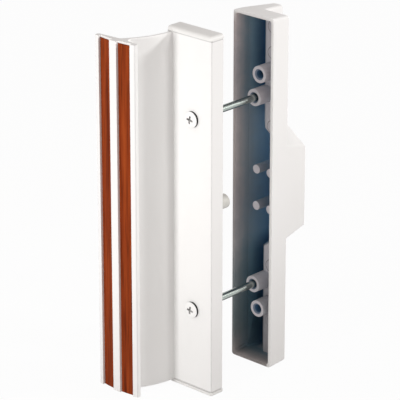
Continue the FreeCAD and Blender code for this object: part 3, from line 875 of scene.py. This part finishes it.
def plain_finish(name, colour, roughness):
    """Worn surface with a blotchy tone, a roughness that wanders and a fine unevenness."""
    material, add = new_material(name)
    place = add("ShaderNodeTexCoord").outputs["Object"]
    blotch = add("ShaderNodeTexNoise", Vector=place, Scale=BLOTCH_SCALE, Detail=3.0, Roughness=0.6)
    lighter = tuple(min(1.0, BLOTCH_LIGHTER * c) for c in colour[:3]) + (1.0,)
    tone = blend(add, blotch, colour, lighter)
    gloss = spread(add, blotch, 0.0, 1.0, roughness * DULL_SPREAD[0], roughness * DULL_SPREAD[1])
    bump = add("ShaderNodeBump", Height=blotch, Distance=BLOTCH_DEPTH * MM, Strength=0.5)
    dull = add("ShaderNodeBsdfPrincipled", Base_Color=tone, Roughness=gloss, Normal=bump)
    dull.inputs["Specular IOR Level"].default_value = DULL_SHINE
    add("ShaderNodeOutputMaterial", Surface=dull)
    return material


wound = THREAD_LENGTH - TIP_CHAMFER - THREAD_RUNOUT
screws = new_piece("mounting_screws", turned_mesh("mounting_screw", screw_profile(), 0.0, 0.0, segments=48))
run_tree(screws, screws_tree(), {
    "Spacing": SCREW_SPACING * MM, "Crest": (-CHANNEL_DEPTH - HEAD_HEIGHT) * MM,
    "Recess Width": RECESS_WIDTH * MM, "Recess Slot": RECESS_SLOT * MM, "Recess Depth": RECESS_DEPTH * MM,
    "Recess Taper": RECESS_TAPER, "Recess Turn": (0.0, math.radians(RECESS_TURN), 0.0),
    "Thread Start": (SCREW_LENGTH - CHANNEL_DEPTH - TIP_CHAMFER - wound) * MM,
    "Thread Turns": wound / THREAD_PITCH, "Thread Length": wound * MM,
    "Thread Radius": (THREAD_DIAMETER / 2 - THREAD_RIDGE) * MM,
    "Face Paint": white_finish("head_paint", HEAD_WHITE, HEAD_WARM, roughness=0.35, peel_size=0.9,
                               peel_depth=0.01),
    "Zinc": bare_metal("screw_zinc", ZINC, roughness=0.25, ring_pitch=0.5, ring_depth=0.0005, cloudy=0.12),
    # The head's rim and cross recess get their painted shadow and shade here.
    "Rim Steel And Shadow": plain_finish("head_rim_steel_and_shadow", DARK_STEEL_AND_SHADOW, roughness=0.5),
    "Recess": plain_finish("recess_painted_shade", RECESS_SHADE_GREY, roughness=0.5)})
shaded(screws, angle=25)
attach(screws, "root")
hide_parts("upper_mounting_screw", "lower_mounting_screw")


# Outside pull. One hollow zinc casting: a shallow tray with the pull flange, the lock housing, four bosses
# and four posts. Gloss white paint outside, with painted shade on its left and bottom rim; inside, the
# metal's dark slate coat shows under paint dust, with painted shade that deepens inwards and in the holes, a
# painted blue reflection deep down, painted light and shade by height and painted light on the side faces.
# A span tells in mm where something starts and where it is full.
RIM_PLANE = 36.5
SPARE_SPACING = 125.41
SPARE_OFFSET = 3.2
BORES = [(x, side * spacing / 2) for x, spacing in ((0.0, SCREW_SPACING), (SPARE_OFFSET, SPARE_SPACING))
         for side in (1, -1)]
BORE_FACING = 0.3
BORE_REACH = 2.15
MOUTH_REACH = 2.8
BORE_ZONE = 2.0
MOUTH_ZONE = 1.75
BEYOND_MOUTH = 5.0
FLAT_ANGLE = 0.3
SAME_PLACE = 1e-7
FLUSH = 1e-6
CASTING_WHITE = (0.86, 0.86, 0.852, 1.0)
CASTING_WARM = (0.83, 0.825, 0.812, 1.0)
# Painted shade and reflection: over its dark slate coat the inside darkens with depth and turns a painted
# blue.
SLATE_SHADE_BY_DEPTH = ((0.08, (0.78, 0.72, 0.72)), (0.235, (0.46, 0.46, 0.48)), (0.39, (0.265, 0.345, 0.405)),
         (0.545, (0.185, 0.315, 0.410)), (0.73, (0.100, 0.210, 0.330)), (0.95, (0.034, 0.155, 0.370)))
HOUSING_SLATE_SHADE_BY_DEPTH = ((0.08, (0.78, 0.72, 0.72)), (0.235, (0.48, 0.47, 0.49)), (0.39, (0.33, 0.39, 0.45)),
                 (0.545, (0.26, 0.36, 0.45)), (0.73, (0.26, 0.42, 0.58)), (0.95, (0.30, 0.54, 0.78)))
# Painted light and shade by height: the inside darker near the foot and lighter towards the top.
HEIGHT_LIGHT_AND_SHADE = ((-94, (0.80, 0.78, 0.76)), (-88, (0.46, 0.48, 0.48)), (-80, (0.28, 0.35, 0.36)),
               (-70, (0.27, 0.37, 0.39)), (-49, (0.45, 0.56, 0.59)), (-30, (0.76, 0.80, 0.81)),
               (-7, (0.76, 0.76, 0.77)), (20, (0.97, 0.95, 0.93)), (33, (0.96, 0.94, 0.93)),
               (67, (0.86, 0.87, 0.89)), (92, (1.15, 1.10, 1.08)))
HEIGHT_SHADE_REACH = 100.0
PAINT_DUST = (0.75, 0.735, 0.78, 1.0)
# Painted shade: boss holes and their mouths are dark blue.
BORE_SHADE = (0.060, 0.150, 0.270, 1.0)
# Painted light: side faces in the hollow get part of the dust colour to lift their shade.
SIDE_DUST_AND_LIGHT = 0.65
POST_SIDE_DUST_AND_LIGHT = 0.30
POST_SPAN = (14.0, 18.0)
FACING_SPAN = (-0.45, -0.95)
DUST_DEPTH_SPAN = (54.0, 44.0)
DUST_LEFT_SPAN = (-8.0, -6.0)
# The dust on the rail is darker towards the bottom.
RAIL_SPAN = (44.2, 45.0)
RAIL_LOW_SPAN = (-46.0, -66.0)
RAIL_LOW_DARKENING = 0.40
BOTTOM_SPAN = (-90.5, -90.7)
# Painted shade: the left and bottom rim take the inside's darker colour.
RIM_SHADE_DEPTH_SPAN = (37.0, 36.75)
RIM_SHADE_LEFT_SPAN = (-11.0, -11.8)
RIM_SHADE_TOP_SPAN = (92.5, 86.0)
RIM_SHADE_RIGHT_SPAN = (10.5, 9.5)
LEDGE_SHADE = 0.69
HOLLOW_DEPTH = 23.0
HOLLOW_CLOUD = 0.16
HOLLOW_CLOUD_SCALE = 180.0
HOLLOW_ROUGHNESS = 0.62
ROUGHNESS_DRIFT = 0.08
CASTING_PEEL_SCALE = 900.0
CASTING_PEEL_DEPTH = 0.02
HOUSING_LOW_SPAN = (-38.0, -27.0)
HOUSING_HIGH_SPAN = (50.0, 34.0)


def zone_inside(face):
    """BORE_ZONE in a boss's hole, MOUTH_ZONE on the hole's countersunk mouth and 1 elsewhere."""
    spot = face.calc_center_median() / MM
    for x, z in BORES:
        inwards = Vector((x - spot.x, 0.0, z - spot.z))
        if face.normal.dot(inwards) > BORE_FACING * inwards.length or spot.y > RIM_PLANE + BEYOND_MOUTH:
            if inwards.length < BORE_REACH:
                return BORE_ZONE
            if inwards.length < MOUTH_REACH:
                return MOUTH_ZONE
    return 1.0


def casting_mesh(node):
    """Merged copy of the CAD mesh; its attribute zone is 0 outside and what zone_inside says within."""
    shape = bmesh.new()
    shape.from_mesh(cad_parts[node].data)
    zone = shape.faces.layers.float.new("zone")
    bmesh.ops.remove_doubles(shape, verts=shape.verts, dist=SAME_PLACE)
    bmesh.ops.dissolve_limit(shape, angle_limit=math.radians(FLAT_ANGLE), verts=shape.verts,
                             edges=shape.edges)
    rim_y = RIM_PLANE * MM
    on_rim = {f for f in shape.faces if all(abs(v.co.y - rim_y) < FLUSH for v in f.verts)}
    start = max(shape.faces, key=lambda f: f.calc_center_median().y)
    outside = {start}
    waiting = [start]
    while waiting:
        face = waiting.pop()
        if face in on_rim:
            continue
        for edge in face.edges:
            for other in edge.link_faces:
                if other not in outside:
                    outside.add(other)
                    waiting.append(other)
    for face in shape.faces:
        face[zone] = 0.0 if face in outside else zone_inside(face)
    mesh = bpy.data.meshes.new(node)
    shape.to_mesh(mesh)
    shape.free()
    return mesh


def faded(add, value, span):
    """0 before the span's start, 1 from its end on."""
    return spread(add, value, span[0] * MM, span[1] * MM)


def product(add, first, *others):
    """All the values multiplied."""
    for other in others:
        first = calc(add, "MULTIPLY", first, other)
    return first


def casting_finish(name):
    """White paint outside, shaded at its left and bottom rim; inside, dust over dark slate, with painted
    shade, light and reflection.
    """
    material, add = new_material(name)
    coordinates = add("ShaderNodeTexCoord")
    place = coordinates.outputs["Object"]
    drift = add("ShaderNodeTexNoise", Vector=place, Scale=DRIFT_SCALE, Detail=3.0, Roughness=0.5)
    white = blend(add, drift, CASTING_WHITE, CASTING_WARM)
    where = add("ShaderNodeSeparateXYZ", Vector=place)
    x, y, z = (where.outputs[axis] for axis in "XYZ")
    depth = faded(add, y, (RIM_PLANE, RIM_PLANE + HOLLOW_DEPTH))
    cloud = add("ShaderNodeTexNoise", Vector=place, Scale=HOLLOW_CLOUD_SCALE, Detail=4.0, Roughness=0.6)
    ragged = calc(add, "MULTIPLY_ADD", cloud, HOLLOW_CLOUD, depth)
    in_housing = product(add, faded(add, z, HOUSING_LOW_SPAN), faded(add, z, HOUSING_HIGH_SPAN))
    # Slate coat with painted shade deepening inwards and a painted blue reflection deep down.
    walls = blend(add, in_housing, ramp(add, ragged, SLATE_SHADE_BY_DEPTH), ramp(add, ragged, HOUSING_SLATE_SHADE_BY_DEPTH))
    # Painted light and shade by height, multiplied into the inside's colour.
    shade_by_height = [((height + HEIGHT_SHADE_REACH) / (2 * HEIGHT_SHADE_REACH), colour) for height, colour in HEIGHT_LIGHT_AND_SHADE]
    height_shade = ramp(add, faded(add, z, (-HEIGHT_SHADE_REACH, HEIGHT_SHADE_REACH)), shade_by_height)
    walls = blend(add, 1.0, walls, height_shade, "MULTIPLY")
    facing = add("ShaderNodeSeparateXYZ", Vector=coordinates.outputs["Normal"]).outputs["Y"]
    from_middle = calc(add, "ABSOLUTE", z)
    # Painted light on side faces, as a share of the dust colour.
    side_dust_and_light = spread(add, from_middle, POST_SPAN[0] * MM, POST_SPAN[1] * MM, POST_SIDE_DUST_AND_LIGHT, SIDE_DUST_AND_LIGHT)
    open_face = spread(add, facing, *FACING_SPAN, side_dust_and_light, 1.0, kind="SMOOTHSTEP")
    low = faded(add, z, BOTTOM_SPAN)
    dust_and_side_light = product(add, open_face, faded(add, y, DUST_DEPTH_SPAN), faded(add, x, DUST_LEFT_SPAN),
                   calc(add, "SUBTRACT", 1.0, low))
    # Dust colour on the rail, darker towards the bottom.
    rail_low_darkening = product(add, faded(add, y, RAIL_SPAN), faded(add, z, RAIL_LOW_SPAN), RAIL_LOW_DARKENING)
    dust_colour_darker_low = scaled(add, PAINT_DUST[:3], calc(add, "SUBTRACT", 1.0, rail_low_darkening))
    walls = scaled(add, walls, spread(add, facing, *FACING_SPAN, 1.0, LEDGE_SHADE))
    zone = add("ShaderNodeAttribute", {"attribute_name": "zone"}).outputs["Fac"]
    inside = blend(add, dust_and_side_light, walls, dust_colour_darker_low)
    # Painted shade in the boss holes and on their mouths.
    inside = blend(add, calc(add, "SUBTRACT", zone, 1.0, clamp=True), inside, BORE_SHADE)
    # Painted shade on the left and bottom rim.
    left_rim_shade = product(add, faded(add, x, RIM_SHADE_LEFT_SPAN), faded(add, z, RIM_SHADE_TOP_SPAN))
    low_rim_shade = product(add, low, faded(add, x, RIM_SHADE_RIGHT_SPAN))
    rim_shade = product(add, calc(add, "MAXIMUM", left_rim_shade, low_rim_shade), faded(add, y, RIM_SHADE_DEPTH_SPAN))
    hollow = calc(add, "MAXIMUM", zone, rim_shade, clamp=True)
    gloss = spread(add, hollow, 0.0, 1.0, PAINT_ROUGHNESS, HOLLOW_ROUGHNESS)
    gloss = calc(add, "MULTIPLY_ADD", drift, ROUGHNESS_DRIFT, gloss)
    peel = add("ShaderNodeTexNoise", Vector=place, Scale=CASTING_PEEL_SCALE, Detail=2.0, Roughness=0.45)
    bump = add("ShaderNodeBump", Height=peel, Distance=CASTING_PEEL_DEPTH * MM, Strength=0.5)
    coat = add("ShaderNodeBsdfPrincipled", Base_Color=blend(add, hollow, white, inside), Roughness=gloss,
               Normal=bump)
    add("ShaderNodeOutputMaterial", Surface=coat)
    return material


casting_paint = casting_finish("casting_paint")
outside_pull = new_piece("outside_pull_casting", casting_mesh("outside_pull"))
outside_pull.data.materials.clear()
outside_pull.data.materials.append(casting_paint)
shaded(outside_pull)
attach(outside_pull, "root")
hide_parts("outside_pull")


# Ejector marks. Faint round lips that the die's pins leave on the floor of the casting, in the same metal
# and under the same paint dust as the floor.
MARK_DIAMETER = 6.5
MARK_LIP = 0.14
MARK_FLATTENING = 0.35
MARK_GREY = (0.22, 0.215, 0.22, 1.0)
FLOOR_DEPTH = 9.1
MARK_COLUMN = 4.0
MARK_HEIGHTS = (85.3, 71.9, 33.2, -41.7, -72.3)


def marks_tree():
    """A thin round lip at each point, half sunk in the floor."""
    tree, given, add = new_tree("ejector_marks", [("Diameter", "Float"), ("Lip", "Float"),
                                                  ("Finish", "Material")])
    radius = calc(add, "MULTIPLY", given["Diameter"], 0.5)
    circle = add("GeometryNodeCurvePrimitiveCircle", Resolution=48, Radius=radius)
    lip = add("GeometryNodeCurvePrimitiveCircle", Resolution=8, Radius=given["Lip"])
    ring = add("GeometryNodeCurveToMesh", Curve=circle, Profile_Curve=lip)
    upright = add("GeometryNodeTransform", Geometry=ring, Rotation=(math.pi / 2, 0, 0),
                  Scale=(1.0, 1.0, MARK_FLATTENING))
    placed = add("GeometryNodeInstanceOnPoints", Points=given["Geometry"], Instance=upright)
    real = add("GeometryNodeRealizeInstances", Geometry=placed)
    finished = add("GeometryNodeSetMaterial", Geometry=real, Material=given["Finish"])
    add("NodeGroupOutput", Geometry=finished)
    return tree


spots = bpy.data.meshes.new("ejector_marks")
spots.from_pydata([(MARK_COLUMN * MM, (RIM_PLANE + FLOOR_DEPTH) * MM, z * MM) for z in MARK_HEIGHTS], [], [])
marks = new_piece("ejector_marks", spots)
run_tree(marks, marks_tree(), {"Diameter": MARK_DIAMETER * MM, "Lip": MARK_LIP * MM,
                               "Finish": plain_finish("mark_dust", MARK_GREY, roughness=0.6)})
marks.data.shade_smooth()
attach(marks, "root")
